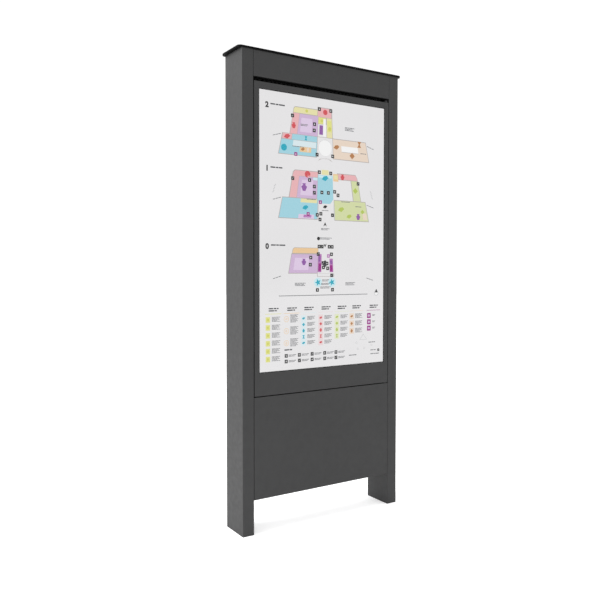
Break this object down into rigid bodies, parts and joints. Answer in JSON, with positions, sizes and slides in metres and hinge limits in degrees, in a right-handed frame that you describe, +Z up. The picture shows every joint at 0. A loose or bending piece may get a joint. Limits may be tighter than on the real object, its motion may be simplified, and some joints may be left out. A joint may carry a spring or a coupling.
{
  "type": "touchscreen kiosk",
  "caption": "Free-standing portrait touchscreen kiosk: a display in a hinged front door between two box posts, with a cap plate, an air slot and a lockable service flap.",
  "frame": {"origin": "on the floor, in the middle of the body's width and depth", "axes": "+X to the right of a person facing the screen, +Y from the front to the back, +Z up"},
  "size_m": [0.884, 0.165, 2.08],
  "materials": {
    "body_paint": "fine-texture dark grey powder coat",
    "cap_paint": "fine-texture black powder coat",
    "black_steel": "matt black paint",
    "zinc_steel": "zinc-plated sheet",
    "bright_steel": "turned and polished",
    "screw_steel": "blackened",
    "lever_paint": "red paint",
    "screen_glass": "toughened, anti-reflective",
    "seal_rubber": "matt",
    "display_face": "lit picture",
    "display_case": "stamped sheet",
    "equipment_case": "anodised dark grey",
    "black_plastic": "moulded",
    "grey_plastic": "moulded",
    "button_plastic": "moulded, blue"
  },
  "bodies": {
    "cabinet": {"left_post": "body_paint", "right_post": "body_paint", "header_panel": "body_paint", "rear_panel": "body_paint", "left_foot_cover": "body_paint", "right_foot_cover": "body_paint", "top_cap": "cap_paint", "vent_grille": "black_steel", "upper_pivot_bracket": "black_steel", "lower_pivot_bracket": "black_steel", "left_base_plate": "zinc_steel", "right_base_plate": "zinc_steel", "left_post_head": "zinc_steel", "right_post_head": "zinc_steel", "top_rail": "zinc_steel", "mid_rail": "zinc_steel", "floor_tray": "zinc_steel", "rear_jambs": "zinc_steel", "fan_shelf": "zinc_steel", "equipment_plate": "zinc_steel", "latch_guides": "zinc_steel", "din_rail": "zinc_steel", "latch_lever_pin": "bright_steel", "flap_pivot_pins": "bright_steel", "upper_pivot_pin": "screw_steel", "lower_pivot_pin": "screw_steel", "cap_screws": "screw_steel", "rear_panel_screws": "screw_steel", "foot_cover_screws": "screw_steel", "cable_grommet": "seal_rubber", "power_supply": "equipment_case", "media_player": "equipment_case", "fan_frames": "black_plastic", "intake_filter": "black_plastic", "thrust_washer": "black_plastic", "circuit_breaker": "grey_plastic", "terminal_blocks": "grey_plastic"},
    "screen_door": {"door_frame": "body_paint", "touch_glass": "screen_glass", "glass_gasket": "seal_rubber", "display_panel": "display_face", "display_housing": "display_case", "display_rails": "zinc_steel", "display_screws": "bright_steel", "display_driver_box": "display_case", "glass_clamps": "zinc_steel", "touch_controller": "black_plastic", "door_claws": "zinc_steel", "pivot_bushes": "black_plastic"},
    "latch_bar": {"latch_bar": "bright_steel"},
    "latch_lever": {"latch_lever": "lever_paint"},
    "service_flap": {"service_flap": "body_paint", "lock_housings": "bright_steel"},
    "left_lock_cam": {"left_lock_cam": "bright_steel"},
    "right_lock_cam": {"right_lock_cam": "bright_steel"},
    "left_fan_rotor": {"left_fan_rotor": "black_plastic"},
    "right_fan_rotor": {"right_fan_rotor": "black_plastic"},
    "breaker_toggle": {"breaker_toggle": "black_plastic"},
    "player_power_button": {"player_power_button": "button_plastic"}
  },
  "joints": [
    {"name": "screen_door_hinge", "type": "hinge", "parent": "cabinet", "child": "screen_door", "pos_m": [0.355, -0.0705, 0.6], "axis": [0, 0, 1], "range_deg": [0, 110]},
    {"name": "latch_bar_slide", "type": "slide", "parent": "cabinet", "child": "latch_bar", "axis": [0, 0, 1], "range_m": [0, 0.02]},
    {"name": "latch_lever_turn", "type": "hinge", "parent": "cabinet", "child": "latch_lever", "pos_m": [-0.359, 0.008, 0.5], "axis": [-1, 0, 0], "range_deg": [0, 37.7]},
    {"name": "service_flap_hinge", "type": "hinge", "parent": "cabinet", "child": "service_flap", "pos_m": [0, -0.072, 0.565], "axis": [-1, 0, 0], "range_deg": [0, 95]},
    {"name": "left_lock_turn", "type": "hinge", "parent": "service_flap", "child": "left_lock_cam", "pos_m": [-0.3, -0.058, 0.16], "axis": [0, 0, 1], "range_deg": [0, 90]},
    {"name": "right_lock_turn", "type": "hinge", "parent": "service_flap", "child": "right_lock_cam", "pos_m": [0.3, -0.058, 0.16], "axis": [0, 0, 1], "range_deg": [0, 90]},
    {"name": "left_fan_spin", "type": "hinge", "parent": "cabinet", "child": "left_fan_rotor", "pos_m": [-0.18, 0.022, 1.9], "axis": [0, 0, 1], "continuous": true},
    {"name": "right_fan_spin", "type": "hinge", "parent": "cabinet", "child": "right_fan_rotor", "pos_m": [0.18, 0.022, 1.9], "axis": [0, 0, 1], "continuous": true},
    {"name": "breaker_toggle_tilt", "type": "hinge", "parent": "cabinet", "child": "breaker_toggle", "pos_m": [-0.292, -0.0105, 0.4395], "axis": [1, 0, 0], "range_deg": [0, 65]},
    {"name": "power_button_press", "type": "slide", "parent": "cabinet", "child": "player_power_button", "axis": [0, 0, 1], "range_m": [0, 0.002], "stiffness_N_per_m": 400, "springref_m": -0.002}
  ],
  "couplings": [
    {"joint": "latch_lever_turn", "follows": "latch_bar_slide", "rad_per_m": 32.81}
  ]
}
